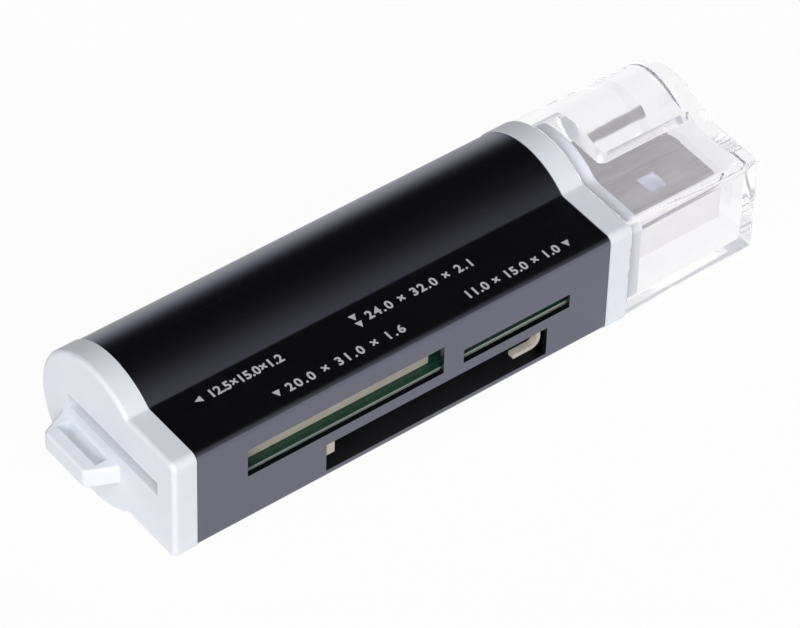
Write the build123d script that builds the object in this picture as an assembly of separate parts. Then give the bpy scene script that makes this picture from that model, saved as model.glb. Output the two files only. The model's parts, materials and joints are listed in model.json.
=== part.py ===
"""Stick-shaped memory card reader.

An extruded sleeve holds a circuit board with four card sockets. A moulded end cap and a collar
close the sleeve, and a clear cap on the collar covers the plug.

The pieces are drawn with X along the stick from the sleeve's rear end, Y back from its front face
and Z up from the underside of its front block. They are then laid as the reader comes to rest, on
its round barrel and the lower edge of its front block. All sizes are in millimetres.
"""
from build123d import *
from math import asin, atan2, cos, degrees, hypot, sin, sqrt
import os

# Section of the stick: a round barrel behind a flat block
barrel_radius = 7.65
barrel_setback = 12.1
block_height = 11.3
corner_radius = 0.7
crease_radius = 0.3
least_corner = 0.4
sleeve_wall = 0.5

# Moulded end cap, with a lanyard loop on its outer face
plate_thickness = 2.4
plate_edge_round = 0.45
rim_step = 0.1
spigot_length = 2.0
spigot_wall = 1.0
spigot_clearance = 0.05
loop_centre = 12.35
loop_base_width = 8.7
loop_bar_width = 6.05
loop_reach = 2.85
loop_bar = 1.3
loop_root = 0.3
loop_thickness = 2.1
loop_underside = 2.6
loop_hole_width = 5.9
loop_edge_round = 0.3

# Collar between the sleeve and the clear cap
collar_length = 2.4
collar_edge_cut = 0.15
cap_spigot_length = 2.0
cap_spigot_chamfer = 0.25

# Clear cap
cap_wall = 1.3
cap_end_wall = 1.3
cap_tip_gap = 0.8
cap_seam_gap = 0.05
cap_fit_clearance = 0.1
cap_draft_angle = 1.0
cap_end_round = 0.4
cap_crease_radius = 1.0
cap_pad_gap = 1.55
cap_pad_lead = 0.35
cap_pad_corner = 0.8
cap_pad_above_plug = 2.33

# Circuit board
board_thickness = 1.0
board_front_setback = 0.88
board_back_gap = 0.2
board_groove = 0.8
board_clearance = 0.1
board_shoulder_gap = 0.2
board_nose_length = 2.5

# Plug
plug_width = 12.0
plug_height = 4.5
plug_sheet = 0.3
plug_corner = 0.6
plug_reach = 13.1
plug_centre_y = 9.45
plug_below_board_top = 2.35
plug_clearance = 0.1
plug_nose_gap = 0.3
plug_lead_in = 0.12
plug_seam = 0.08
latch_hole_length = 2.0
latch_hole_width = 2.2
latch_hole_from_tip = 4.6
latch_hole_offset = 3.4
insulator_recess = 0.5
insulator_block = 2.0
insulator_clearance = 0.03
plug_contact_width = 1.0
plug_contact_thickness = 0.15
plug_contact_offsets = (-3.5, -1.0, 1.0, 3.5)
plug_contact_tail = 1.9
signal_contact_setback = 2.2
power_contact_setback = 1.2

# What every card socket shares
card_side_play = 0.15
card_top_play = 0.1
socket_lip = 0.25
socket_lip_overhang = 0.6
socket_rear_wall = 0.8
socket_corner_cut = 0.8
socket_floor_gap = 0.4
rail_setback = 2.0
contact_thickness = 0.15
contact_rise = 0.35
contact_tip_drop = 0.3
contact_tip_length = 0.6
contact_window_gap = 0.1
upper_socket_back_gap = 3.12

# Socket of the 24 mm card, under the board
large_card_width = 24.0
large_card_thickness = 2.1
large_card_rim = 1.4
large_slot_play = 0.5
large_slot_sill = 0.14
large_slot_margin = 0.18
large_floor = 1.0
large_rail = 1.0
large_front_gap = 0.5
large_back_gap = 0.75
large_contacts = 9
large_pitch = 2.5
large_contact_width = 1.0
large_contact_reach = 6.5
large_contact_tail = 1.2
guide_nose_width = 0.95
guide_nose_setback = 0.2
guide_nose_gap = 0.08
spring_width = 2.8
spring_from_slot_end = 0.75
spring_depth = 1.75
spring_sheet = 0.45
spring_corner = 0.8
spring_setback = 0.3

# Socket of the 20 mm card, on the board
stick_card_width = 20.0
stick_card_thickness = 1.6
stick_slot_play = 1.24
stick_slot_sill = 0.13
stick_slot_margin = 0.7
stick_floor = 0.95
stick_rail = 1.0
stick_front_gap = 1.04
stick_contacts = 10
stick_pitch = 1.7
stick_contact_width = 0.8
stick_contact_reach = 6.0
stick_contact_tail = 1.2

# Socket of the 11 mm card, on the board
small_card_width = 11.0
small_card_thickness = 1.0
small_slot_play = 0.92
small_slot_sill = 0.05
small_slot_margin = 0.19
small_floor = 0.35
small_rail = 0.7
small_cover_sheet = 0.2
small_front_gap = 0.62
small_contacts = 8
small_pitch = 1.1
small_contact_width = 0.6
small_contact_reach = 5.0
small_contact_tail = 1.0

# Socket of the 12.5 mm card, behind the end cap
end_card_width = 12.5
end_card_thickness = 1.2
end_back_step = 0.26
end_slot_play = 0.85
end_slot_step = 0.05
end_slot_margin = 0.25
end_floor = 0.6
end_rail = 0.6
end_socket_gap = 0.3
end_socket_depth = 4.2
end_rail_setback = 0.4
end_contacts = 11
end_pitch = 1.05
end_contact_width = 0.6
end_contact_reach = 3.4
end_contact_tail = 0.2

# Rows of parts along the board
rear_row_gap = 0.38
front_row_gap = 1.1
row_margin = 0.74
chip_gap = 1.0
chip_width = 5.3
chip_length = 10.2
chip_height = 1.65
chip_standoff = 0.1
chip_edge_round = 0.2
chip_centre_y = 8.5
lead_span = 7.8
lead_pitch = 0.65
leads_per_side = 14
lead_width = 0.3
lead_thickness = 0.15
lead_foot = 0.6
socket_to_chip = 2.16
crystal_gap = 0.7
crystal_width = 2.5
crystal_length = 3.2
crystal_height = 0.8
crystal_corner = 0.4
crystal_lid_step = 0.15
capacitor_length = 1.6
capacitor_width = 0.8
capacitor_height = 0.8
capacitor_terminal = 0.35
capacitor_plating = 0.04
capacitor_count = 5
capacitor_gap = 0.3

cut_over = 0.5
mid_height = block_height / 2

# Heights, built up from the sleeve's floor through the large card's socket to the board
board_bottom = (sleeve_wall + socket_floor_gap + socket_lip + card_top_play
                + large_card_thickness + large_floor)
board_top = board_bottom + board_thickness


def socket_width(card_width, rail):
    """Outer width of a socket whose rails stand beside the card."""
    return card_width + 2 * (card_side_play + rail)


# Upper row along X: end socket, 20 mm socket, 11 mm socket
end_socket_rear = end_socket_gap + end_socket_depth
stick_width = socket_width(stick_card_width, stick_rail)
stick_centre = end_socket_rear + rear_row_gap + stick_width / 2
small_width = socket_width(small_card_width, small_rail + small_cover_sheet)
small_centre = stick_centre + stick_width / 2 + front_row_gap + small_width / 2
upper_row_end = small_centre + small_width / 2

# Lower row along X: controller chip, 24 mm socket, crystal
chip_centre = spigot_length + chip_gap + lead_span / 2
large_width = socket_width(large_card_width, large_rail)
large_centre = chip_centre + lead_span / 2 + socket_to_chip + large_width / 2
crystal_centre = large_centre + large_width / 2 + crystal_gap + crystal_width / 2
lower_row_end = crystal_centre + crystal_width / 2

# The sleeve is as long as the longer row asks, and the rest follows from its front end
sleeve_length = max(upper_row_end, lower_row_end) + row_margin + spigot_length
collar_front = sleeve_length + collar_length
plug_tip = collar_front + plug_reach
cap_rear = collar_front + cap_seam_gap
cap_cavity_end = plug_tip + cap_tip_gap
cap_end = cap_cavity_end + cap_end_wall
loop_end = -plate_thickness - loop_reach

plug_low = board_top - plug_below_board_top
plug_centre_z = plug_low + plug_height / 2


def sleeve_back(z):
    """Y of the sleeve's inner face at the back of the barrel, at height z."""
    return barrel_setback + sqrt((barrel_radius - sleeve_wall) ** 2 - (z - mid_height) ** 2)


board_back = min(sleeve_back(board_bottom), sleeve_back(board_top)) - board_back_gap
board_shoulder = sleeve_length - board_shoulder_gap
board_nose_end = board_shoulder + board_nose_length

large_front = sleeve_wall + large_front_gap
large_back = sleeve_back(sleeve_wall + socket_floor_gap) - large_back_gap
stick_front = board_front_setback + stick_front_gap
small_front = board_front_setback + small_front_gap
upper_back = sleeve_back(board_top + stick_floor + stick_card_thickness) - upper_socket_back_gap
end_card_centre = upper_back + end_back_step - socket_width(end_card_width, end_rail) / 2

# Card slots: each reaches from near the board's face to past its card
large_slot_high = board_bottom - large_slot_sill
large_slot_low = (board_bottom - large_floor - large_card_thickness - card_top_play
                  - large_slot_margin)
stick_slot_low = board_top + stick_slot_sill
stick_slot_high = (board_top + stick_floor + stick_card_thickness + card_top_play
                   + stick_slot_margin)
small_slot_low = board_top + small_slot_sill
small_slot_high = (board_top + small_floor + small_card_thickness + card_top_play
                   + small_slot_margin)
end_slot_low = board_top + end_floor + end_slot_step
end_slot_high = (board_top + end_floor + end_card_thickness + card_top_play
                 + end_slot_margin)
large_slot_width = large_card_width + large_slot_play
stick_slot_width = stick_card_width + stick_slot_play
small_slot_width = small_card_width + small_slot_play
end_slot_width = end_card_width + end_slot_play

# Frames of the sockets: x towards the card's way in, y across, z away from the board
large_frame = Pos(large_centre, large_back, board_bottom) * Rot(Z=-90) * Rot(X=180)
stick_frame = Pos(stick_centre, upper_back, board_top) * Rot(Z=-90)
small_frame = Pos(small_centre, upper_back, board_top) * Rot(Z=-90)
end_frame = Pos(end_socket_rear, end_card_centre, board_top) * Rot(Z=180)


def around(centre, width):
    """Low and high ends of a width about its centre."""
    return centre - width / 2, centre + width / 2


def block(x, y, z):
    """A box from its low and high ends along each axis."""
    size = Box(x[1] - x[0], y[1] - y[0], z[1] - z[0], align=(Align.MIN, Align.MIN, Align.MIN))
    return Pos(x[0], y[0], z[0]) * size


def section(grow, crease_round=crease_radius):
    """The stick's outline, offset outwards by grow, as a face across X."""
    radius = barrel_radius + grow
    half = mid_height + grow
    corner = max(corner_radius + grow, least_corner)
    crease = barrel_setback - sqrt(radius**2 - half**2)
    low = mid_height - half
    high = mid_height + half
    slope = degrees(asin(half / radius))
    edges = [
        Line((crease, low), (corner - grow, low)),
        CenterArc((corner - grow, low + corner), corner, 270, -90),
        Line((-grow, low + corner), (-grow, high - corner)),
        CenterArc((corner - grow, high - corner), corner, 180, -90),
        Line((corner - grow, high), (crease, high)),
        CenterArc((barrel_setback, mid_height), radius, 180 - slope, 2 * slope - 360),
    ]
    face = make_face(edges)
    creases = [v for v in face.vertices() if abs(v.X - crease) < corner]
    return Plane.YZ * fillet(creases, max(crease_round - grow, least_corner))


def prism(grow, start, end):
    """The stick's outline, offset by grow, extruded from start to end along X."""
    return Pos(start, 0, 0) * extrude(section(grow), amount=end - start, dir=(1, 0, 0))


def drafted(grow, start, end, crease_round):
    """As prism, but tapering towards its end by the clear cap's draft."""
    face = section(grow, crease_round)
    return Pos(start, 0, 0) * extrude(face, amount=end - start, dir=(1, 0, 0), taper=cap_draft_angle)


def end_edges(solid, at_front):
    """The rim of a solid's face at its front or rear end along X."""
    faces = solid.faces().sort_by(Axis.X)
    return faces[-1 if at_front else 0].edges()


def spigot(start, end):
    """A ring that plugs into the sleeve."""
    outer = -sleeve_wall - spigot_clearance
    return prism(outer, start, end) - prism(outer - spigot_wall, start - cut_over, end + cut_over)


def board_slot(start, end):
    """The space that the board's end takes, with its clearance."""
    return block(
        (start, end),
        (board_front_setback - board_clearance, board_back + board_clearance),
        (board_bottom - board_clearance, board_top + board_clearance),
    )


def plug_tube(inset, start, end):
    """The plug's rounded outline, drawn in by inset, extruded along X."""
    corner = max(plug_corner - inset, least_corner)
    face = RectangleRounded(plug_width - 2 * inset, plug_height - 2 * inset, corner)
    solid = extrude(Plane.YZ * face, amount=end - start, dir=(1, 0, 0))
    return Pos(start, plug_centre_y, plug_centre_z) * solid


def make_sleeve():
    """Extruded tube with a slot in its front face for each card that goes in there."""
    sleeve = prism(0, 0, sleeve_length) - prism(-sleeve_wall, -cut_over, sleeve_length + cut_over)
    slots = (
        (large_centre, large_slot_width, large_slot_low, large_slot_high),
        (stick_centre, stick_slot_width, stick_slot_low, stick_slot_high),
        (small_centre, small_slot_width, small_slot_low, small_slot_high),
    )
    for centre, width, low, high in slots:
        sleeve -= block(around(centre, width), (-cut_over, sleeve_wall + cut_over), (low, high))
    return sleeve


def make_loop():
    """Lanyard loop: a flat tapered tab with a slot between its bar and the end cap."""
    root = -plate_thickness
    plan = Polygon(
        (root, loop_centre - loop_base_width / 2),
        (root, loop_centre + loop_base_width / 2),
        (loop_end, loop_centre + loop_bar_width / 2),
        (loop_end, loop_centre - loop_bar_width / 2),
        align=None,
    )
    outer_corners = plan.vertices().sort_by(Axis.X)[:2]
    plan = fillet(outer_corners, loop_bar / 2)
    tab = Pos(0, 0, loop_underside) * extrude(plan, amount=loop_thickness)
    outer_rims = [e for e in tab.edges() if e.center().X < root - loop_edge_round and
                  abs(e.tangent_at(0).Z) < 0.5]
    tab = fillet(outer_rims, loop_edge_round)
    hole = block(
        (loop_end + loop_bar, root - loop_root),
        around(loop_centre, loop_hole_width),
        (loop_underside - cut_over, loop_underside + loop_thickness + cut_over),
    )
    return tab - hole


def make_end_cap():
    """Moulded plate and spigot that close the sleeve's rear end."""
    plate = prism(rim_step, -plate_thickness, 0)
    plate = fillet(end_edges(plate, False), plate_edge_round)
    cap = plate + spigot(0, spigot_length) + make_loop()
    cap -= board_slot(-board_groove, spigot_length + cut_over)
    cap -= block(
        (-plate_thickness - cut_over, cut_over),
        around(end_card_centre, end_slot_width),
        (end_slot_low, end_slot_high),
    )
    return cap


def make_front_collar():
    """Moulded collar that holds the plug: a spigot each for the sleeve and the clear cap."""
    collar = prism(rim_step, sleeve_length, collar_front)
    collar = chamfer(end_edges(collar, True), collar_edge_cut)
    nose = prism(-cap_wall - cap_fit_clearance, collar_front, collar_front + cap_spigot_length)
    nose = chamfer(end_edges(nose, True), cap_spigot_chamfer)
    collar = collar + nose + spigot(sleeve_length - spigot_length, sleeve_length)
    collar -= board_slot(sleeve_length - spigot_length - cut_over, sleeve_length)
    return collar - plug_tube(-plug_clearance, sleeve_length - spigot_length, plug_tip)


def make_clear_cap():
    """Drafted shell over the plug, open at the collar, with a flat pad inside its barrel's top."""
    shell = drafted(0, cap_rear, cap_end, cap_crease_radius)
    shell = fillet(end_edges(shell, True), cap_end_round)
    cavity = drafted(-cap_wall, cap_rear, cap_cavity_end, crease_radius)
    pad = block(
        (cap_rear + cap_spigot_length + cap_pad_gap, cap_end),
        (plug_centre_y - cap_pad_lead, barrel_setback + barrel_radius),
        (plug_low + plug_height + cap_pad_above_plug, mid_height + barrel_radius),
    )
    near_corner = pad.edges().filter_by(Axis.Z).group_by(Axis.X)[0].sort_by(Axis.Y)[0]
    return shell - (cavity - fillet(near_corner, cap_pad_corner))


def make_board():
    """Circuit board, with a nose that reaches into the plug's shell."""
    z = (board_bottom, board_top)
    main = block((board_clearance - board_groove, board_shoulder), (board_front_setback, board_back), z)
    nose_width = plug_width - 2 * (plug_sheet + plug_nose_gap)
    nose = block((board_shoulder, board_nose_end), around(plug_centre_y, nose_width), z)
    return main + nose


def make_usb_shell():
    """Folded steel tube of the plug, with latch holes on both broad sides and its seam below."""
    shell = plug_tube(0, board_shoulder, plug_tip)
    shell = chamfer(end_edges(shell, True), plug_lead_in)
    along = (board_shoulder - cut_over, plug_tip + cut_over)
    shell -= plug_tube(plug_sheet, *along)
    shell -= block(along, around(plug_centre_y, plug_seam), (plug_low - cut_over, plug_centre_z))
    front = plug_tip - latch_hole_from_tip
    for side in (-1, 1):
        centre = plug_centre_y + side * latch_hole_offset
        shell -= block(
            (front - latch_hole_length, front),
            around(centre, latch_hole_width),
            (plug_low - cut_over, plug_low + plug_height + cut_over),
        )
    return shell


def plug_contact_front(offset):
    """X of a plug contact's front end: the outer pair is longer and meets first."""
    outer = abs(offset) == max(plug_contact_offsets)
    return plug_tip - (power_contact_setback if outer else signal_contact_setback)


def make_usb_insulator():
    """Plastic tongue over the contacts, with a block behind that fills the shell."""
    inset = plug_sheet + insulator_clearance
    rear = board_nose_end + board_clearance
    body = plug_tube(inset, rear, plug_tip - insulator_recess)
    contact_top = board_top + plug_contact_thickness
    y = around(plug_centre_y, plug_width)
    body -= block((rear + insulator_block, plug_tip), y, (plug_low, contact_top))
    for offset in plug_contact_offsets:
        width = plug_contact_width + 2 * insulator_clearance
        y = around(plug_centre_y + offset, width)
        body -= block((rear - cut_over, plug_tip), y, (board_top - insulator_clearance, contact_top))
    return body


def make_usb_contact(offset):
    """One flat contact, from the board's nose to under the tongue."""
    return block(
        (board_nose_end - plug_contact_tail, plug_contact_front(offset)),
        around(plug_centre_y + offset, plug_contact_width),
        (board_top, board_top + plug_contact_thickness),
    )


def socket_body(card_width, card_room, floor, rail, lip, depth, setback):
    """A card socket in its own frame: a channel with a rear wall, and lips over the card if it has any."""
    half = card_width / 2 + card_side_play
    outer = half + rail
    inner = half - socket_lip_overhang
    seat = floor + card_room
    height = seat + lip
    points = [(outer, 0), (outer, height)]
    if lip:
        points += [(inner, height), (inner, seat)]
    points += [(half, seat), (half, floor)]
    mirrored = [(-y, z) for y, z in reversed(points)]
    face = Plane.YZ * Polygon(*points, *mirrored, align=None)
    body = extrude(face, amount=depth, dir=(1, 0, 0))
    body += block((0, socket_rear_wall), (-outer, outer), (0, height))
    body -= block((depth - setback, depth + cut_over), (-outer, outer), (floor, height + cut_over))
    upright = body.edges().filter_by(Axis.Z)
    front = [e for e in upright if abs(e.center().X - depth) < cut_over / 10]
    return chamfer(front, min(socket_corner_cut, rail))


def contact_places(count, pitch):
    """Places across a socket of its evenly pitched contacts."""
    return [(i - (count - 1) / 2) * pitch for i in range(count)]


def cut_windows(body, places, width, floor, reach):
    """Opens a window through a socket's floor, and its rear wall's foot, for each contact."""
    gap = contact_window_gap
    for y in places:
        across = around(y, width + 2 * gap)
        body -= block((socket_rear_wall, reach + gap), across, (-cut_over, floor + cut_over))
        body -= block((-cut_over, socket_rear_wall), across, (-cut_over, contact_thickness + gap))
    return body


def spring_contact(width, floor, tail, reach):
    """Leaf contact in its socket's frame: a tail on the board, and an arm bent up above the floor."""
    low = contact_thickness / 2
    high = floor + contact_rise
    bow = reach - contact_tip_length
    path = Polyline(
        (-tail, 0, low),
        (socket_rear_wall, 0, low),
        (bow, 0, high),
        (reach, 0, high - contact_tip_drop),
    )
    start = Plane(origin=(-tail, 0, low), x_dir=(0, 1, 0), z_dir=(1, 0, 0))
    profile = start * Rectangle(width, contact_thickness)
    return sweep(profile, path=path, transition=Transition.RIGHT)


def make_large_socket():
    """Socket of the 24 mm card, hung under the board, with a nose over the card's thin rim."""
    depth = large_back - large_front
    room = large_card_thickness + card_top_play
    body = socket_body(large_card_width, room, large_floor, large_rail, socket_lip, depth, rail_setback)
    places = contact_places(large_contacts, large_pitch)
    body = cut_windows(body, places, large_contact_width, large_floor, large_contact_reach)
    nose_start = large_centre - large_slot_width / 2 + guide_nose_gap
    rim_high = board_bottom - large_floor - large_card_thickness + large_card_rim
    nose = block(
        (nose_start, nose_start + guide_nose_width),
        (guide_nose_setback, large_front),
        (rim_high, large_slot_high - guide_nose_gap),
    )
    return large_frame * body + nose


def make_large_spring():
    """Bent leaf at the other end of the slot, hung by one end, which the card lifts as it goes in."""
    right = large_centre + large_slot_width / 2 - spring_from_slot_end
    left = right - spring_width
    high = large_slot_high - guide_nose_gap
    low = high - spring_depth
    path = FilletPolyline((left, 0, low), (right, 0, low), (right, 0, high), radius=spring_corner)
    start = Plane(origin=(left, 0, low), x_dir=(0, 1, 0), z_dir=(1, 0, 0))
    width = large_front - spring_setback
    strip = sweep(start * Rectangle(width, spring_sheet), path=path)
    return Pos(0, spring_setback + width / 2, 0) * strip


def make_stick_socket():
    """Socket of the 20 mm card."""
    depth = upper_back - stick_front
    room = stick_card_thickness + card_top_play
    body = socket_body(stick_card_width, room, stick_floor, stick_rail, socket_lip, depth, rail_setback)
    places = contact_places(stick_contacts, stick_pitch)
    body = cut_windows(body, places, stick_contact_width, stick_floor, stick_contact_reach)
    return stick_frame * body


def make_small_socket():
    """Base of the 11 mm card's socket, open at the top."""
    depth = upper_back - small_front
    room = small_card_thickness + card_top_play
    body = socket_body(small_card_width, room, small_floor, small_rail, 0, depth, rail_setback)
    places = contact_places(small_contacts, small_pitch)
    body = cut_windows(body, places, small_contact_width, small_floor, small_contact_reach)
    return small_frame * body


def make_small_cover():
    """Folded steel cover of the 11 mm card's socket."""
    outer = small_width / 2
    inner = outer - small_cover_sheet
    seat = small_floor + small_card_thickness + card_top_play
    top = seat + small_cover_sheet
    depth = upper_back - small_front - rail_setback
    face = Plane.YZ * Polygon(
        (-outer, 0), (-outer, top), (outer, top), (outer, 0),
        (inner, 0), (inner, seat), (-inner, seat), (-inner, 0),
        align=None,
    )
    return small_frame * extrude(face, amount=depth, dir=(1, 0, 0))


def make_end_socket():
    """Socket of the 12.5 mm card, open towards the end cap's slot."""
    depth = end_socket_depth
    room = end_card_thickness + card_top_play
    body = socket_body(end_card_width, room, end_floor, end_rail, socket_lip, depth, end_rail_setback)
    places = contact_places(end_contacts, end_pitch)
    body = cut_windows(body, places, end_contact_width, end_floor, end_contact_reach)
    return end_frame * body


def make_chip():
    """Moulded body of the controller."""
    high = board_bottom - chip_standoff
    body = block(
        around(chip_centre, chip_width),
        around(chip_centre_y, chip_length),
        (high - chip_height, high),
    )
    return chamfer(body.edges().filter_by(Axis.Z), chip_edge_round)


def make_leads():
    """The controller's two rows of gull-wing leads."""
    knee = (lead_span - chip_width) / 2 - lead_foot
    high = chip_standoff + chip_height / 2
    path = Polyline(
        (chip_width / 2, 0, high),
        (chip_width / 2 + knee / 2, 0, high),
        (chip_width / 2 + knee, 0, lead_thickness / 2),
        (lead_span / 2, 0, lead_thickness / 2),
    )
    start = Plane(origin=(chip_width / 2, 0, high), x_dir=(0, 1, 0), z_dir=(1, 0, 0))
    profile = start * Rectangle(lead_width, lead_thickness)
    lead = sweep(profile, path=path, transition=Transition.RIGHT)
    frame = Pos(chip_centre, chip_centre_y, board_bottom) * Rot(X=180)
    row = contact_places(leads_per_side, lead_pitch)
    return Compound([frame * Rot(Z=turn) * Pos(0, y, 0) * lead for turn in (0, 180) for y in row])


def make_crystal():
    """Crystal in a small can with a stepped lid."""
    case = RectangleRounded(crystal_width, crystal_length, crystal_corner)
    lid = RectangleRounded(
        crystal_width - 2 * crystal_lid_step,
        crystal_length - 2 * crystal_lid_step,
        crystal_corner,
    )
    low = board_bottom - crystal_height
    can = Pos(0, 0, low + crystal_lid_step) * extrude(case, amount=crystal_height - crystal_lid_step)
    can += Pos(0, 0, low) * extrude(lid, amount=crystal_lid_step)
    return Pos(crystal_centre, chip_centre_y, 0) * can


def make_capacitors():
    """A row of chip capacitors with plated ends, behind the 11 mm card's socket."""
    half = capacitor_length / 2
    back = board_back - capacitor_gap
    y = (back - capacitor_width, back)
    z = (board_top, board_top + capacitor_height)
    inset = [(low + capacitor_plating, high - capacitor_plating) for low, high in (y, z)]
    body = block((-half, half), *inset)
    for end in (-half, half - capacitor_terminal):
        body += block((end, end + capacitor_terminal), y, z)
    places = contact_places(capacitor_count, small_width / capacitor_count)
    return Compound([Pos(small_centre + x, 0, 0) * body for x in places])


def contact_set(name, frame, count, pitch, width, floor, tail, reach):
    """Named contacts of one socket, each its own piece."""
    leaf = spring_contact(width, floor, tail, reach)
    places = contact_places(count, pitch)
    return {f"{name}_contact_{i + 1}": frame * Pos(0, y, 0) * leaf for i, y in enumerate(places)}


def make_pieces():
    """Every piece by name, as drawn."""
    pieces = {
        "sleeve": make_sleeve(),
        "end_cap": make_end_cap(),
        "front_collar": make_front_collar(),
        "clear_cap": make_clear_cap(),
        "circuit_board": make_board(),
        "usb_shell": make_usb_shell(),
        "usb_insulator": make_usb_insulator(),
        "large_card_socket": make_large_socket(),
        "large_card_spring": make_large_spring(),
        "stick_card_socket": make_stick_socket(),
        "small_card_socket": make_small_socket(),
        "small_card_cover": make_small_cover(),
        "end_card_socket": make_end_socket(),
        "controller_chip": make_chip(),
        "controller_leads": make_leads(),
        "crystal": make_crystal(),
        "capacitors": make_capacitors(),
    }
    for i, offset in enumerate(plug_contact_offsets):
        pieces[f"usb_contact_{i + 1}"] = make_usb_contact(offset)
    pieces |= contact_set("large_card", large_frame, large_contacts, large_pitch, large_contact_width,
                          large_floor, large_contact_tail, large_contact_reach)
    pieces |= contact_set("stick_card", stick_frame, stick_contacts, stick_pitch, stick_contact_width,
                          stick_floor, stick_contact_tail, stick_contact_reach)
    pieces |= contact_set("small_card", small_frame, small_contacts, small_pitch, small_contact_width,
                          small_floor, small_contact_tail, small_contact_reach)
    pieces |= contact_set("end_card", end_frame, end_contacts, end_pitch, end_contact_width,
                          end_floor, end_contact_tail, end_contact_reach)
    return pieces


def rest_pose():
    """Lays the stick on the line that touches both its barrel and its lower front corner."""
    across = barrel_setback - corner_radius
    up = mid_height - corner_radius
    tilt = asin((barrel_radius - corner_radius) / hypot(across, up)) - atan2(up, across)
    barrel_y = barrel_setback * cos(tilt) - mid_height * sin(tilt)
    barrel_z = barrel_setback * sin(tilt) + mid_height * cos(tilt)
    corner_z = block_height - corner_radius
    front_y = corner_radius * cos(tilt) - corner_z * sin(tilt) - corner_radius - rim_step
    back_y = barrel_y + barrel_radius + rim_step
    low_z = barrel_z - barrel_radius - rim_step
    shift = Pos(-(loop_end + cap_end) / 2, -(front_y + back_y) / 2, -low_z)
    print("rest tilt", round(degrees(tilt), 4), "shift", [round(v, 4) for v in shift.position])
    return shift * Rot(X=degrees(tilt))


os.makedirs("parts", exist_ok=True)
rest = rest_pose()
for node, solid in make_pieces().items():
    export_step(rest * solid, f"parts/{node}.step")
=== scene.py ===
# %% [markdown]
# # Dressing a stick-shaped card reader
#
# The reader is a black anodised sleeve with white moulded ends, four card slots, and a clear cap
# over its plug. Its solids come ready made, at their real size, so this lesson leaves every shape
# where it is. It sets up the view, the studio and the finish of each piece, and prints the marks.

# %% Load the solids
import json
import math

import bmesh
import bpy
from mathutils import Matrix, Vector


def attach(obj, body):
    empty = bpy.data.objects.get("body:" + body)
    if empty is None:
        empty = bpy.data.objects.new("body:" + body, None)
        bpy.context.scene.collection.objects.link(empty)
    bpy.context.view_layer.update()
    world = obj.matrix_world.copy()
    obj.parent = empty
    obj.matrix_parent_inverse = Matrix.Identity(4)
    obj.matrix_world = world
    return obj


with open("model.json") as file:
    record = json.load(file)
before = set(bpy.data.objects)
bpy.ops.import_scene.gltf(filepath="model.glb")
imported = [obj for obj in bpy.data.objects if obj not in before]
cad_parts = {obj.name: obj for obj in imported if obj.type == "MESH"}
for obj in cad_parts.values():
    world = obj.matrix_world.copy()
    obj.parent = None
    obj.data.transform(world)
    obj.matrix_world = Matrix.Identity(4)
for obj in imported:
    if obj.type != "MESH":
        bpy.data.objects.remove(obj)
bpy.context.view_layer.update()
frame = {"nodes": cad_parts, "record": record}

nodes = frame["nodes"]

# %% [markdown]
# The stick doesn't lie flat: it rests on its barrel and on one edge of its block, so its broad faces
# lean. The board inside is flat and lies along those faces, so its own normal tells the lean. From
# that we get three axes that belong to the stick: along it, back through it and up from its strip.

# %% Find how the stick leans
MM = 0.001


def stick_axes():
    """Unit vectors along the stick, back from its slotted face and up from its printed strip."""
    broad = max(nodes["circuit_board"].data.polygons, key=lambda face: face.area)
    up = broad.normal * (1 if broad.normal.z > 0 else -1)
    along = Vector((1, 0, 0))
    return along, up.cross(along), up


ALONG, BACK, UP = stick_axes()


def reach(node, direction):
    """Lowest and highest place of a node's corners along a direction."""
    places = [corner.co.dot(direction) for corner in nodes[node].data.vertices]
    return min(places), max(places)


SLEEVE_REAR = reach("sleeve", ALONG)[0]
SLEEVE_FRONT = reach("sleeve", BACK)[0]
SLEEVE_TOP = reach("sleeve", UP)[1]
print("the stick leans by", round(math.degrees(math.atan2(-UP.y, UP.z)), 2), "degrees")

# %% [markdown]
# The camera stands where the picture was taken from. A long lens from a little over 40 cm flattens the
# perspective as the picture shows it, and the camera is rolled a few degrees, because the stick was
# not lying the same way up as it does here. A camera can be dragged into place by eye. Here it is set by
# a distance and three angles, which can be measured and written down.

# %% Place the camera
AIM = Vector((-1.234, -2.058, 7.5)) * MM
CAMERA_DISTANCE = 434.72 * MM
CAMERA_AZIMUTH = math.radians(33.425)
CAMERA_ELEVATION = math.radians(36.068)
CAMERA_ROLL = math.radians(-6.264)
LENS = 221.13
SENSOR = 36.0


def place_camera():
    """A camera that looks at the aim point from its azimuth and elevation, then rolls."""
    data = bpy.data.cameras.new("camera")
    data.lens = LENS
    data.sensor_width = SENSOR
    data.clip_start = 10 * MM
    data.clip_end = 10.0
    camera = bpy.data.objects.new("camera", data)
    bpy.context.scene.collection.objects.link(camera)
    turn = Matrix.Rotation(-CAMERA_AZIMUTH, 4, "Z")
    tip = Matrix.Rotation(math.pi / 2 - CAMERA_ELEVATION, 4, "X")
    roll = Matrix.Rotation(CAMERA_ROLL, 4, "Z")
    step_back = Matrix.Translation((0, 0, CAMERA_DISTANCE))
    camera.matrix_world = Matrix.Translation(AIM) @ turn @ tip @ roll @ step_back
    bpy.context.scene.camera = camera
    return camera


camera = place_camera()
print("camera at", [round(1000 * v, 1) for v in camera.matrix_world.translation])

# %% [markdown]
# Every finish below is a node tree, and most of them are sums: a noise times a strength plus a base
# value. Written as nodes and links, such sums are long. So one small class wraps a socket and lends
# it Python's operators, and a second one holds a material's tree and adds any other node in one call.

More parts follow.
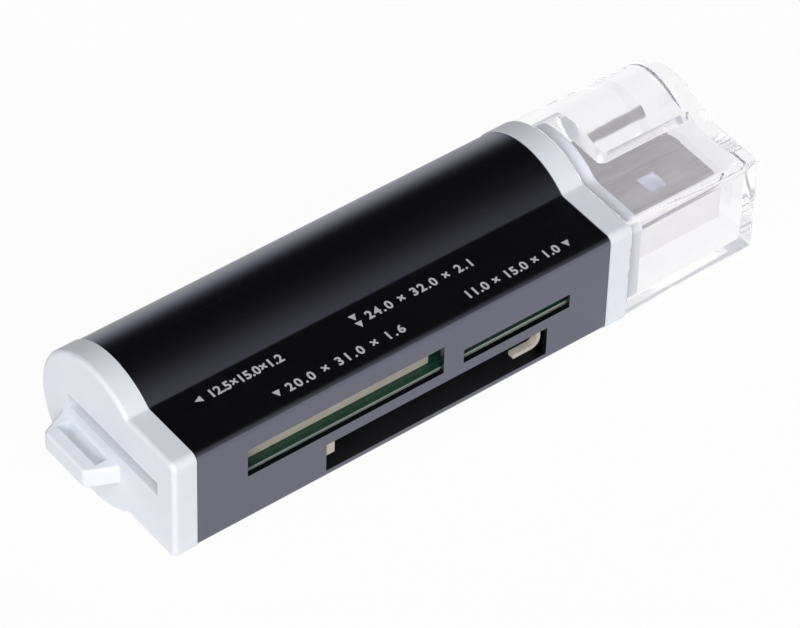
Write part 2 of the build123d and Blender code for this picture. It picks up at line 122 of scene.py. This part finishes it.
# %% Shader maths as Python sums
class Wire:
    """A node's output that can be used in sums. Each operator adds one Math node."""

    def __init__(self, finish, socket):
        self.finish = finish
        self.socket = socket

    def math(self, operation, first, second):
        return self.finish.node("Math", {"operation": operation}, {0: first, 1: second})

    def __add__(self, other):
        return self.math("ADD", self, other)

    def __radd__(self, other):
        return self.math("ADD", other, self)

    def __sub__(self, other):
        return self.math("SUBTRACT", self, other)

    def __rsub__(self, other):
        return self.math("SUBTRACT", other, self)

    def __mul__(self, other):
        return self.math("MULTIPLY", self, other)

    def __rmul__(self, other):
        return self.math("MULTIPLY", other, self)

    def __gt__(self, other):
        return self.math("GREATER_THAN", self, other)

    def __lt__(self, other):
        return self.math("LESS_THAN", self, other)

    def __abs__(self):
        return self.finish.node("Math", {"operation": "ABSOLUTE"}, {0: self})

    def at_least(self, low):
        return self.math("MAXIMUM", self, low)

    def also(self, output):
        """Another output of the same node."""
        return Wire(self.finish, self.socket.node.outputs[output])


class Finish:
    """A material and its node tree."""

    def __init__(self, name, tree=None):
        if tree is None:
            self.material = bpy.data.materials.new(name)
            self.material.use_nodes = True
            tree = self.material.node_tree
        self.tree = tree
        tree.nodes.clear()

    def node(self, kind, settings=None, inputs=None, output=0):
        """Adds a node of any kind. Its settings are set first, then its inputs' values or links."""
        made = self.tree.nodes.new("ShaderNode" + kind)
        for key, value in (settings or {}).items():
            if key == "stops":
                self.set_stops(made.color_ramp, value)
            else:
                setattr(made, key, value)
        for key, value in (inputs or {}).items():
            if isinstance(value, Wire):
                self.tree.links.new(value.socket, made.inputs[key])
            else:
                made.inputs[key].default_value = value
        return Wire(self, made.outputs[output]) if made.outputs else None

    def set_stops(self, ramp, stops):
        """Gives a colour ramp its stops, each a place and a colour."""
        while len(ramp.elements) < len(stops):
            ramp.elements.new(1.0)
        for element, (place, colour) in zip(ramp.elements, stops):
            element.position = place
            element.color = colour

    def mix(self, share, first, second):
        """Blends two colours."""
        settings = {"data_type": "RGBA"}
        return self.node("Mix", settings, {0: share, 6: first, 7: second}, 2)

    def place(self, stretch=(1, 1, 1)):
        """A point of the piece in millimetres, stretched along each axis."""
        point = self.node("TexCoord", output="Object")
        scale = tuple(v / MM for v in stretch)
        return self.node("VectorMath", {"operation": "MULTIPLY"}, {0: point, 1: scale})

    def along(self, vector, direction):
        """How far a vector reaches along a direction."""
        inputs = {0: vector, 1: tuple(direction)}
        return self.node("VectorMath", {"operation": "DOT_PRODUCT"}, inputs, "Value")

    def facing(self, direction):
        """The cosine between the surface's own normal and a direction."""
        return self.along(self.node("TexCoord", output="Normal"), direction)

    def noise(self, per_mm, stretch=(1, 1, 1), detail=2.0):
        """Smooth noise between 0 and 1 with so many waves in a millimetre."""
        inputs = {"Vector": self.place(stretch), "Scale": per_mm, "Detail": detail}
        return self.node("TexNoise", None, inputs)

    def bump(self, height, strength, depth):
        """A normal bent by a height field; depth is its full height in millimetres."""
        inputs = {"Height": height, "Strength": strength, "Distance": depth * MM}
        return self.node("Bump", None, inputs)

    def plastic_or_metal(self, **inputs):
        """A Principled shader; names such as base_color stand for its inputs."""
        sockets = {key.replace("_", " ").title(): value for key, value in inputs.items()}
        if "Ior" in sockets:
            sockets["IOR"] = sockets.pop("Ior")
        return self.node("BsdfPrincipled", None, sockets)

    def done(self, shader):
        """Sends a shader to the output and gives the material."""
        self.node("OutputMaterial", None, {"Surface": shader})
        return self.material


def srgb(red, green, blue):
    """A colour as a screen shows it, from 0 to 255, turned into the linear light of shaders."""
    def linear(v):
        v = v / 255
        return v / 12.92 if v <= 0.04045 else ((v + 0.055) / 1.055) ** 2.4
    return (linear(red), linear(green), linear(blue), 1.0)


print("a middle grey of 128 is", round(srgb(128, 128, 128)[0], 3), "in linear light")

# %% [markdown]
# The stick lies on a white table. The table is what makes the black sleeve read: the slotted face
# mirrors it, and the back of the barrel catches the part behind. A plain square plane would do for the
# shadow, but its edge would show in the gloss, so this one is a disc with a low raised rim, made by
# turning its section. The camera, and rays that come through a clear piece, see it lifted towards white,
# and its faint shadow stays. A gloss sees it lifted less, so the shade where the stick touches the table
# shows in the slotted face. To everything that it lights, it is plain matt board.

# %% Make the table
FLOOR_RADIUS = 1.6
RIM_RADIUS = 0.12
RIM_HEIGHT = 0.2
FLOOR_SEGMENTS = 96
RIM_STEPS = 8
FLOOR_WHITENESS = 0.95
FLOOR_MIRRORED = 0.68
FLOOR_STOPS = [(0.3, (0.84, 0.84, 0.85, 1)), (0.7, (0.88, 0.88, 0.88, 1))]
WELD = 0.01 * MM


def make_table():
    """A round table top that curves up into a low rim, made by turning its section."""
    section = [(0.0, 0.0), (FLOOR_RADIUS / 2, 0.0)]
    for step in range(RIM_STEPS + 1):
        angle = math.pi / 2 * step / RIM_STEPS
        out = FLOOR_RADIUS - RIM_RADIUS + RIM_RADIUS * math.sin(angle)
        section.append((out, RIM_RADIUS * (1 - math.cos(angle))))
    section.append((FLOOR_RADIUS, RIM_HEIGHT))
    mesh = bmesh.new()
    corners = [mesh.verts.new((out, 0, high)) for out, high in section]
    line = [mesh.edges.new(pair) for pair in zip(corners, corners[1:])]
    bmesh.ops.spin(mesh, geom=corners + line, axis=(0, 0, 1), cent=(0, 0, 0),
                   angle=2 * math.pi, steps=FLOOR_SEGMENTS)
    bmesh.ops.remove_doubles(mesh, verts=mesh.verts, dist=WELD)
    bmesh.ops.recalc_face_normals(mesh, faces=mesh.faces)
    data = bpy.data.meshes.new("table")
    mesh.to_mesh(data)
    mesh.free()
    table = bpy.data.objects.new("table", data)
    bpy.context.scene.collection.objects.link(table)
    return table


def table_finish():
    """White matt board, lifted towards white where it is looked at and not where it lights."""
    finish = Finish("table_board")
    ray = finish.node("LightPath", output="Is Camera Ray")
    direct = ray.also("Diffuse Depth") < 1
    looked_at = (ray + ray.also("Is Transmission Ray") * direct) * FLOOR_WHITENESS
    mirrored = ray.also("Is Glossy Ray") * direct * FLOOR_MIRRORED
    tone = finish.node("ValToRGB", {"stops": FLOOR_STOPS}, {0: finish.noise(0.02, detail=1.0)})
    matt = finish.node("BsdfDiffuse", None, {"Color": tone})
    white = finish.node("Emission", None, {"Color": (1, 1, 1, 1), "Strength": 1.0})
    return finish.done(finish.node("MixShader", None, {0: looked_at + mirrored, 1: matt, 2: white}))


table = make_table()
table.data.materials.append(table_finish())
print("table of", len(table.data.polygons), "faces")

# %% [markdown]
# The stick stands in a tent of pale cloth, as small glossy things do in a studio. The tent could be built
# from sheets and lamps. Here it is the room's own light, a formula over directions, because that is short
# and has no edges for the gloss to show. The cloth is bright low at the front left and fades to dark at
# the top and on the right. The strip mirrors the dark part, and the barrel mirrors more and more of the
# bright part towards its crease. A white sweep that rises behind gives the barrel its pale back edge.
#
# A soft lamp at the front left adds a main direction, and a weak one at the right lights the clear cap's
# end. The room looks white to the camera, and pale grey through the cap, so that the plug in there mirrors
# grey and looks like steel. Light in thick clear plastic is thrown from wall to wall many times before it
# leaves, so many bounces are allowed, or the cap's corners would be black.

# %% Light the tent
LAMPS = {
    "main_softbox": {"at": (-0.74, -0.89, 0.61), "size": (0.90, 0.90), "power": 9.6},
    "right_fill": {"at": (1.12, 0.05, 0.28), "size": (0.50, 0.50), "power": 4.2},
}
LAMP_AIM = Vector((0, 0, 6)) * MM
TENT_SIDE = Vector((-0.66, -0.72, 0.22)).normalized()
TENT_DARK = (0.003, 0.002, 0.003, 1.0)
TENT_BRIGHT = (1.78, 1.72, 1.76, 1.0)
SWEEP_SIDE = Vector((0.53, 0.80, -0.28)).normalized()
SWEEP_FADE = (0.66, 0.98)
SWEEP_TONE = (0.90, 0.90, 0.92, 1.0)
ROOM_BEHIND = (1.0, 1.0, 1.0, 1.0)
ROOM_THROUGH = (0.60, 0.61, 0.65, 1.0)
GLOSS_PATHS = 90
CLEAR_PATHS = 90
ALL_PATHS = 128


def hang_lamp(name, at, size, power):
    """A rectangular soft lamp that faces the stick and isn't itself seen."""
    data = bpy.data.lights.new(name, "AREA")
    data.shape = "RECTANGLE"
    data.size, data.size_y = size
    data.energy = power
    lamp = bpy.data.objects.new(name, data)
    bpy.context.scene.collection.objects.link(lamp)
    lamp.location = at
    lamp.rotation_mode = "QUATERNION"
    lamp.rotation_quaternion = (LAMP_AIM - lamp.location).to_track_quat("-Z", "Y")
    lamp.visible_camera = False
    return lamp


def light_room():
    """A tent, bright on one side, that looks white itself and grey through clear pieces."""
    world = bpy.data.worlds.new("room")
    world.use_nodes = True
    room = Finish("room", world.node_tree)
    way = room.node("TexCoord", output="Generated")
    fade = {0: room.along(way, SWEEP_SIDE), 1: SWEEP_FADE[0], 2: SWEEP_FADE[1]}
    sweep = room.node("MapRange", {"interpolation_type": "SMOOTHSTEP"}, fade)
    lit = room.along(way, TENT_SIDE).at_least(0.0)
    cloth = room.mix(sweep, room.mix(lit * lit, TENT_DARK, TENT_BRIGHT), SWEEP_TONE)
    ray = room.node("LightPath", output="Is Camera Ray")
    through = ray.also("Is Transmission Ray") * (ray.also("Diffuse Depth") < 1)
    tone = room.mix(ray, room.mix(through, cloth, ROOM_THROUGH), ROOM_BEHIND)
    glow = room.node("Background", None, {"Color": tone, "Strength": 1.0})
    room.node("OutputWorld", None, {"Surface": glow})
    bpy.context.scene.world = world


for name, lamp in LAMPS.items():
    hang_lamp(name, **lamp)
light_room()
bpy.context.scene.view_settings.view_transform = "Standard"
bpy.context.scene.cycles.glossy_bounces = GLOSS_PATHS
bpy.context.scene.cycles.transmission_bounces = CLEAR_PATHS
bpy.context.scene.cycles.max_bounces = ALL_PATHS
print("lamps", list(LAMPS))

# %% [markdown]
# The sleeve is drawn aluminium tube, blasted fine, dyed black and sealed. The oxide is a hard clear
# layer with a high index, so it mirrors more than a plastic does, while nothing comes back from below.
# A fine grain breaks the mirror up, and faint drawing lines run along the tube. It could be shaded as a
# dark metal, but a dark metal mirrors darkly at every angle. A black plastic with the oxide's own index
# mirrors a little face on and a lot at a low angle, as the real skin does.

# %% Black anodised finish
OXIDE_INDEX = 2.6
OXIDE_TINT = (0.77, 0.79, 1.0, 1)
DRAWN = (0.03, 1, 1)


def anodised_finish():
    """Dyed oxide over blasted, drawn aluminium."""
    finish = Finish("anodised_black")
    grain = finish.noise(14.0, detail=3.0)
    lines = finish.noise(2.2, stretch=DRAWN, detail=3.0)
    cloud = finish.noise(0.35, detail=2.0)
    tone = finish.mix(cloud, (0.0018, 0.0018, 0.0026, 1), (0.0034, 0.0032, 0.0042, 1))
    roughness = 0.20 + grain * 0.06 + lines * 0.05
    normal = finish.bump(grain * 0.7 + lines * 0.3, 0.10, 0.006)
    return finish.done(finish.plastic_or_metal(
        base_color=tone, roughness=roughness, ior=OXIDE_INDEX, normal=normal,
        specular_tint=OXIDE_TINT))


FINISHES = {"anodised_aluminium": anodised_finish()}
print("made", FINISHES["anodised_aluminium"].name)

# %% [markdown]
# The ends are one white plastic, slightly see-through at thin edges, with the soft gloss of a polished
# mould. Flow in the mould leaves the white a little uneven over some millimetres. A plain white would
# look like chalk, so a little light is let in under the skin, which softens the edges of the shadows.

# %% White moulded finish
PLASTIC_INDEX = 1.5
GLOW_DEPTH = 0.5 * MM


def white_finish():
    """White moulding with a hint of blue, which lets a little light in at its skin."""
    finish = Finish("white_moulding")
    flow = finish.noise(0.22, stretch=(1, 0.6, 1), detail=2.0)
    skin = finish.noise(9.0, detail=2.0)
    tone = finish.mix(flow, srgb(226, 231, 238), srgb(234, 238, 243))
    roughness = 0.30 + skin * 0.10 + flow * 0.05
    normal = finish.bump(skin, 0.05, 0.01)
    return finish.done(finish.plastic_or_metal(
        base_color=tone, roughness=roughness, ior=PLASTIC_INDEX, normal=normal,
        subsurface_weight=0.12, subsurface_radius=(1.0, 0.9, 1.0), subsurface_scale=GLOW_DEPTH))


FINISHES["white_plastic"] = white_finish()
print("made", FINISHES["white_plastic"].name)

# %% [markdown]
# The cap is clear acrylic. It bends what lies behind it, so the plug and the collar show through in
# broken lines. A shadow ray is let through instead of bent, or the inside would be as dark as under a
# solid lid. Very slight waves in the skin, left by the mould, make the broken lines uneven. Under its
# round part the cap has a thick pad, and that face of a mould is seldom polished. The pad's underside is
# told by where it lies and by looking down, and it is made matt.

# %% Clear moulded finish
ACRYLIC_INDEX = 1.49
PAD_FRONT = SLEEVE_FRONT + 8.4 * MM
PLUG_TOP = reach("usb_shell", UP)[1]
FROST = 0.20
LOOKS_DOWN = 0.9


def clear_finish():
    """Clear acrylic with slight mould waves, and frost under the pad."""
    finish = Finish("clear_moulding")
    waves = finish.noise(0.30, detail=1.0)
    haze = finish.noise(1.2, detail=3.0)
    point = finish.node("TexCoord", output="Object")
    in_barrel = (finish.along(point, UP) > PLUG_TOP) * (finish.along(point, BACK) > PAD_FRONT)
    under_pad = in_barrel * (finish.facing(-UP) > LOOKS_DOWN)
    roughness = 0.01 + haze * 0.03 + under_pad * FROST
    glass = finish.plastic_or_metal(
        base_color=(0.985, 0.98, 0.99, 1), roughness=roughness, ior=ACRYLIC_INDEX,
        transmission_weight=1.0, normal=finish.bump(waves, 0.10, 0.05))
    through = finish.node("BsdfTransparent", None, {"Color": (0.93, 0.925, 0.94, 1)})
    shadow = finish.node("LightPath", output="Is Shadow Ray")
    return finish.done(finish.node("MixShader", None, {0: shadow, 1: glass, 2: through}))


FINISHES["clear_plastic"] = clear_finish()
print("made", FINISHES["clear_plastic"].name)

# %% [markdown]
# The plug, the small cover and the crystal's can are plated sheet steel, the leads are tinned and the
# spring contacts gilt. Rolling leaves fine lines along the sheet, so the noise is stretched that way, and
# handling leaves cloudy dull patches. One function can make all five, because only the colour and the
# smoothness differ. The plug's broad faces are brushed as well, which leaves them duller. Their colour is
# also painted darker than the folded sides, a painted shade for how dark those faces look in this light.

# %% Plated steel finishes
ROLLED = (0.04, 1, 1)
# The dark tone of the painted shade on the plug's broad faces.
BROAD_FACE_SHADE = (0.05, 0.03, 0.02, 1)
BRUSH_ROUGHNESS = 0.10
LIES_BROAD = 0.8


def plated_finish(name, bright, dull, smooth, brush_and_shade_share=1.0):
    """Plated sheet with rolling lines and dull patches; a share under 1 makes broad faces rougher and paints
    shade on them.
    """
    finish = Finish(name)
    lines = finish.noise(6.0, stretch=ROLLED, detail=3.0)
    cloud = finish.noise(0.5, detail=3.0)
    roughness = smooth + lines * 0.12 + cloud * 0.10
    tone = finish.mix(cloud, bright, dull)
    # Below 1, broad faces are made rougher, and their colour is mixed towards the dark tone as a painted
    # shade.
    if brush_and_shade_share < 1.0:
        broad = abs(finish.facing(UP)) > LIES_BROAD
        shade = brush_and_shade_share * (0.80 + lines * 0.4)
        tone = finish.mix(broad, tone, finish.mix(shade, BROAD_FACE_SHADE, tone))
        roughness = roughness + broad * BRUSH_ROUGHNESS
    return finish.done(finish.plastic_or_metal(
        base_color=tone, metallic=1.0, roughness=roughness, normal=finish.bump(lines, 0.10, 0.01)))


PLATINGS = {
    "plug_steel": plated_finish("plug_plating", (0.95, 0.94, 0.95, 1), (0.86, 0.84, 0.85, 1), 0.24, 0.64),
    "cover_steel": plated_finish("cover_plating", (0.70, 0.70, 0.70, 1), (0.58, 0.58, 0.58, 1), 0.25),
    "crystal_steel": plated_finish("crystal_plating", (0.72, 0.71, 0.68, 1), (0.6, 0.59, 0.57, 1), 0.22),
    "lead_tin": plated_finish("lead_tinning", (0.74, 0.74, 0.76, 1), (0.62, 0.62, 0.64, 1), 0.32),
    "contact_brass": plated_finish("contact_gilding", (0.86, 0.64, 0.28, 1), (0.75, 0.54, 0.22, 1), 0.22),
}
FINISHES.update(PLATINGS)
print("platings", list(PLATINGS))

# %% [markdown]
# The board is glass laminate under green resist. Copper tracks lift the resist a little and look paler
# through it, and the sawn edge of the laminate stays bare. The edge is told by its normal, which lies
# across the board's own. Tracks could be drawn as a picture, but only a sliver of the board shows in the
# slots, and a brick pattern gives the same short straight runs.

# %% Board finish
TRACKS = {"Scale": 0.9, "Mortar Size": 0.06, "Brick Width": 1.7, "Row Height": 0.5, "Mortar Smooth": 0.2}
LIES_FLAT = 0.5


def board_finish():
    """Green resist over tracks, with bare sawn edges."""
    finish = Finish("board_resist")
    tracks = finish.node("TexBrick", None, {"Vector": finish.place(), **TRACKS}, "Fac")
    weave = finish.noise(3.0, detail=2.0)
    resist = finish.mix(tracks, srgb(24, 60, 46), srgb(36, 80, 60))
    laminate = finish.mix(weave, srgb(176, 190, 182), srgb(198, 208, 198))
    coated = abs(finish.facing(UP)) > LIES_FLAT
    return finish.done(finish.plastic_or_metal(
        base_color=finish.mix(coated, laminate, resist), roughness=0.35 + weave * 0.15,
        ior=PLASTIC_INDEX, normal=finish.bump(tracks, 0.3, 0.03)))


FINISHES["board_laminate"] = board_finish()
print("made", FINISHES["board_laminate"].name)

# %% [markdown]
# The remaining pieces are small: sockets in cream heat-proof plastic, the plug's white tongue, a moulded
# chip and fired ceramic. Each is a base colour that drifts, with a fine skin that also varies the
# roughness. A picture could be wrapped round them, but noise in space needs no unwrapping.

# %% Small part finishes
def moulded_finish(name, pale, deep, smooth, skin_depth):
    """Dull moulded or fired material whose tone drifts, with a fine skin."""
    finish = Finish(name)
    drift = finish.noise(0.6, detail=2.0)
    skin = finish.noise(12.0, detail=2.0)
    return finish.done(finish.plastic_or_metal(
        base_color=finish.mix(drift, pale, deep), roughness=smooth + skin * 0.12,
        ior=PLASTIC_INDEX, normal=finish.bump(skin, 0.15, skin_depth)))


MOULDINGS = {
    "insulator_plastic": moulded_finish("tongue_white", srgb(224, 226, 238), srgb(212, 214, 228), 0.45, 0.01),
    "ivory_plastic": moulded_finish("socket_ivory", srgb(196, 192, 179), srgb(178, 173, 160), 0.42, 0.01),
    "chip_epoxy": moulded_finish("chip_epoxy", srgb(34, 34, 36), srgb(26, 26, 28), 0.55, 0.02),
    "capacitor_ceramic": moulded_finish("fired_ceramic", srgb(172, 142, 108), srgb(150, 120, 90), 0.5, 0.01),
}
FINISHES.update(MOULDINGS)
print("small mouldings", list(MOULDINGS), "finishes", len(FINISHES))

# %% [markdown]
# Each solid has to get its finish. They could be listed one by one, but the record already says which
# material slot each solid takes, so the finishes are handed out by slot.

# %% Hand out the finishes
for subpart in frame["record"]["subparts"]:
    solid = nodes[subpart["node"]].data
    solid.materials.clear()
    solid.materials.append(FINISHES[subpart["material_slot"]])

# %% [markdown]
# Pale marks are screen printed on the strip. The ink is a film of some hundredths of a millimetre that
# the anodised skin grips unevenly, so its tone drifts a little between thin and full.

# %% Mix the ink
INK_INDEX = 1.45


def ink_finish():
    """Pale ink, thin enough to look worn in places."""
    finish = Finish("pale_ink")
    cover = finish.noise(3.0, detail=3.0)
    tone = finish.mix(cover, srgb(174, 174, 179), srgb(206, 206, 209))
    return finish.done(finish.plastic_or_metal(
        base_color=tone, roughness=0.55 + cover * 0.15, ior=INK_INDEX))


INK = ink_finish()
print("made", INK.name)

# %% [markdown]
# A mark has to lie on the strip and follow its lean. Its height could be read off the drawing, but then it
# would be wrong when the sleeve changes. So a line is dropped on the sleeve from above, and where it lands
# is the place. The mark is sunk a hair, or it might hang over a face that isn't quite flat.

# %% Find a place on the strip
INK_DEPTH = 0.02
INK_SUNK = 0.01


def on_strip(x, y):
    """Where a mark lies: x from the sleeve's rear end, y back from its front face, in millimetres."""
    above = ALONG * (SLEEVE_REAR + x * MM) + BACK * (SLEEVE_FRONT + y * MM) + UP * (SLEEVE_TOP + MM)
    _, point, _, _ = nodes["sleeve"].ray_cast(above, -UP)
    axes = Matrix((ALONG, BACK, UP)).transposed().to_4x4()
    return Matrix.Translation(point - UP * INK_SUNK * MM) @ axes


def print_mark(mark, place):
    """Lays a mark on the strip, inked, as part of the reader."""
    mark.matrix_world = place
    mark.data.materials.append(INK)
    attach(mark, "reader")


bpy.context.view_layer.update()
corner = on_strip(1, 1).translation
print("strip 1 mm in from its rear corner, in mm", [round(1000 * v, 2) for v in corner])

# %% [markdown]
# Each slot has an arrow that points to it. It is one flat triangle, pulled up by the ink's depth.

# %% Cut an arrow
ARROW_WIDTH = 0.74
ARROW_TURNS = {"front": 0, "rear": -math.pi / 2}


def make_arrow(name):
    """A flat triangle that points to the front, with its middle at the origin."""
    half = ARROW_WIDTH / 2 * MM
    corners = [(-half, half), (half, half), (0, -half)]
    mesh = bmesh.new()
    face = mesh.faces.new([mesh.verts.new((x, y, 0)) for x, y in corners])
    raised = bmesh.ops.extrude_face_region(mesh, geom=[face])["geom"]
    high = [part for part in raised if isinstance(part, bmesh.types.BMVert)]
    bmesh.ops.translate(mesh, verts=high, vec=(0, 0, (INK_SUNK + INK_DEPTH) * MM))
    bmesh.ops.recalc_face_normals(mesh, faces=mesh.faces)
    data = bpy.data.meshes.new(name)
    mesh.to_mesh(data)
    mesh.free()
    arrow = bpy.data.objects.new(name, data)
    bpy.context.scene.collection.objects.link(arrow)
    return arrow


print("arrows", ARROW_WIDTH, "mm wide")

# %% [markdown]
# Beside the arrow stands the size of the slot's card, in plain numbers. They could be drawn stroke by
# stroke, but Blender's own typeface is close to what is printed on such sticks. It is scaled to the height
# of its digits, thickened a little, and its spacing is changed until the line has the right length. The
# length follows the spacing only roughly, so this is done a few times.

# %% Set the digits
DIGIT_HEIGHT = 0.95
DIGIT_WEIGHT = 0.034
CURVE_STEPS = 4
SPACING_ROUNDS = 3


def make_digits(name, text, length):
    """Raised digits on a baseline from the origin, spaced to fill a length."""
    curve = bpy.data.curves.new(name, "FONT")
    curve.body = text
    digits = bpy.data.objects.new(name, curve)
    bpy.context.scene.collection.objects.link(digits)
    bpy.context.view_layer.update()
    curve.size = DIGIT_HEIGHT * MM / digits.dimensions.y
    curve.offset = DIGIT_WEIGHT * MM
    curve.extrude = (INK_SUNK + INK_DEPTH) / 2 * MM
    curve.resolution_u = CURVE_STEPS
    for _ in range(SPACING_ROUNDS):
        bpy.context.view_layer.update()
        curve.space_character *= length * MM / digits.dimensions.x
    shown = digits.evaluated_get(bpy.context.evaluated_depsgraph_get())
    mesh = bpy.data.meshes.new_from_object(shown)
    mesh.transform(Matrix.Translation((0, 0, curve.extrude)))
    bpy.data.objects.remove(digits)
    piece = bpy.data.objects.new(name, mesh)
    bpy.context.scene.collection.objects.link(piece)
    return piece


print("digits", DIGIT_HEIGHT, "mm high")

# %% [markdown]
# The four lines of print are placed from the sleeve's rear end and its front face, in millimetres. The
# card that goes in at the end has its arrow turned to the rear, and the largest card has two arrows.

# %% Print the marks
LABELS = {
    "end_card": {
        "text": "12.5×15.0×1.2", "start": 5.1, "end": 12.7, "line": 4.85,
        "arrows": [(4.05, 5.32, "rear")]},
    "stick_card": {
        "text": "20.0 × 31.0 × 1.6", "start": 11.0, "end": 23.6, "line": 1.54,
        "arrows": [(10.02, 1.96, "front")]},
    "large_card": {
        "text": "24.0 × 32.0 × 2.1", "start": 21.8, "end": 33.3, "line": 4.54,
        "arrows": [(20.79, 5.49, "front"), (20.79, 4.50, "front")]},
    "small_card": {
        "text": "11.0 × 15.0 × 1.0", "start": 30.3, "end": 40.5, "line": 1.46,
        "arrows": [(41.66, 1.87, "front")]},
}
for slot, label in LABELS.items():
    print_mark(make_digits(f"{slot}_size", label["text"], label["end"] - label["start"]),
               on_strip(label["start"], label["line"]))
    for count, (x, y, way) in enumerate(label["arrows"], 1):
        turned = on_strip(x, y) @ Matrix.Rotation(ARROW_TURNS[way], 4, "Z")
        print_mark(make_arrow(f"{slot}_arrow_{count}"), turned)
print("labels", list(LABELS))
